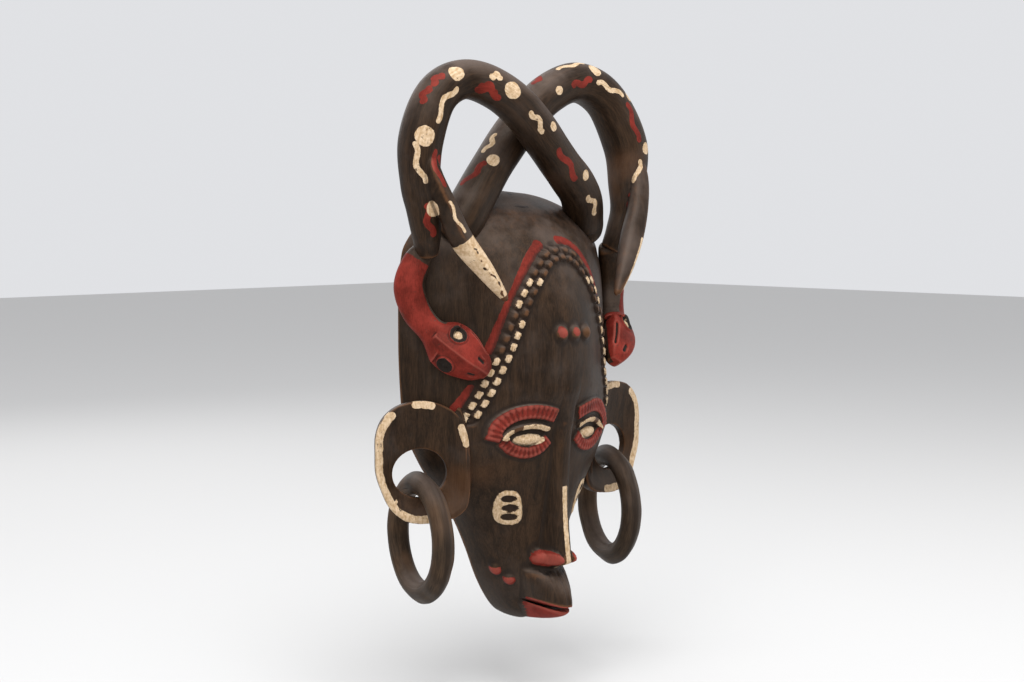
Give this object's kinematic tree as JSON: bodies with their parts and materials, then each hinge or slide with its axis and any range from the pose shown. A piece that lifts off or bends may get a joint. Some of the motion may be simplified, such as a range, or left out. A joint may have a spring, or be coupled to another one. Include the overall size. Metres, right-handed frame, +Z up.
{
  "type": "carved face mask",
  "caption": "Carved wooden face mask with crossing horns, side serpents, pierced ears and loose hanging ear rings, painted in red and ivory.",
  "frame": {"origin": "middle of the top edge of the mask's flat back rim, where it hangs", "axes": "+Z up, +X to the viewer's right, +Y out of the back towards the wall; the face looks along -Y"},
  "size_m": [0.2911, 0.1161, 0.4663],
  "materials": {
    "dark_wood": "dark stained, waxed, worn brown at the edges",
    "red_painted_wood": "matte red paint, worn",
    "worn_wood": "dark stained, worn",
    "peg_wood": "plain"
  },
  "bodies": {
    "mask": {"mask_shell": "dark_wood", "horn_left": "dark_wood", "horn_right": "dark_wood", "serpent_left": "red_painted_wood", "serpent_right": "red_painted_wood", "ear_left": "dark_wood", "ear_right": "dark_wood", "horn_peg_left": "peg_wood", "horn_peg_right": "peg_wood", "serpent_peg_left": "peg_wood", "serpent_peg_right": "peg_wood", "ear_peg_left": "peg_wood", "ear_peg_right": "peg_wood"},
    "ring_left": {"ear_ring_left": "worn_wood"},
    "ring_right": {"ear_ring_right": "worn_wood"}
  },
  "joints": [
    {"name": "ring_left_swing", "type": "hinge", "parent": "mask", "child": "ring_left", "pos_m": [-0.11184, -0.02293, -0.2525], "axis": [0.8746, -0.4848, 0], "range_deg": [-40, 40]},
    {"name": "ring_right_swing", "type": "hinge", "parent": "mask", "child": "ring_right", "pos_m": [0.10837, -0.02255, -0.2525], "axis": [0.9962, 0.0872, 0], "range_deg": [-40, 40]}
  ]
}
